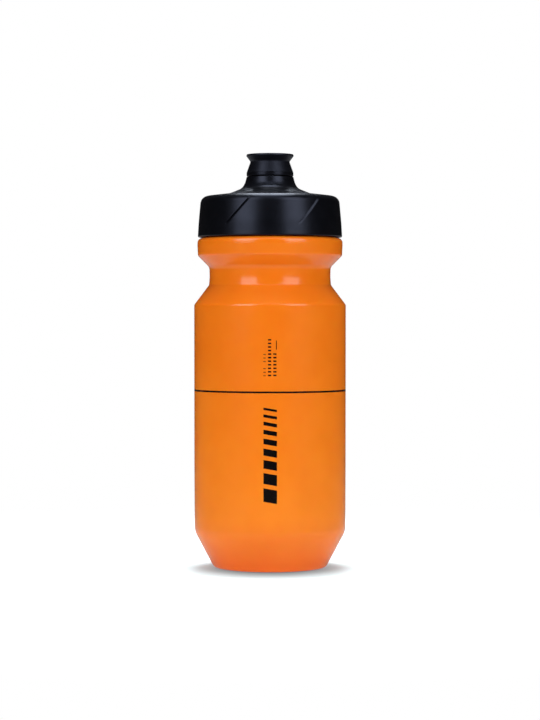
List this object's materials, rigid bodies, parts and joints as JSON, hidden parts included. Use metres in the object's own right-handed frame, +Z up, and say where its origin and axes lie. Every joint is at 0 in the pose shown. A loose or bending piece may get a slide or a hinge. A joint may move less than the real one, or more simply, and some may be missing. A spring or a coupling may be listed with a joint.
{
  "type": "sports squeeze bottle",
  "caption": "Cylindrical squeeze bottle with a waist, a ring under a grooved screw cap and a push-pull spout nozzle.",
  "frame": {"origin": "centre of the foot, on the surface that the bottle stands on", "axes": "+Z up the bottle's axis to the mouthpiece, -Y towards the printed front, +X to the right of the front"},
  "size_m": [0.074, 0.074, 0.2015],
  "materials": {
    "bottle_plastic": "semi-gloss soft polyethylene, slightly translucent",
    "cap_plastic": "satin moulded polypropylene",
    "stem_plastic": "satin moulded polypropylene",
    "mouthpiece_rubber": "matt soft elastomer",
    "seal_rubber": "matt silicone rubber"
  },
  "bodies": {
    "bottle": {"bottle_body": "bottle_plastic"},
    "gasket": {"cap_gasket": "seal_rubber"},
    "cap": {"screw_cap": "cap_plastic", "spout_stem": "stem_plastic", "stem_o_ring": "seal_rubber", "nozzle_o_ring": "seal_rubber"},
    "nozzle": {"nozzle_sleeve": "cap_plastic", "mouthpiece": "mouthpiece_rubber"}
  },
  "joints": [
    {"name": "cap_lift", "type": "slide", "parent": "bottle", "child": "gasket", "axis": [0, 0, 1], "range_m": [0, 0.0182]},
    {"name": "cap_turn", "type": "hinge", "parent": "gasket", "child": "cap", "pos_m": [0, 0, 0.16105], "axis": [0, 0, 1], "range_deg": [0, 1080]},
    {"name": "nozzle_slide", "type": "slide", "parent": "cap", "child": "nozzle", "axis": [0, 0, 1], "range_m": [0, 0.006]}
  ],
  "couplings": [
    {"joint": "cap_lift", "follows": "cap_turn", "m_per_rad": 0.00095493}
  ]
}
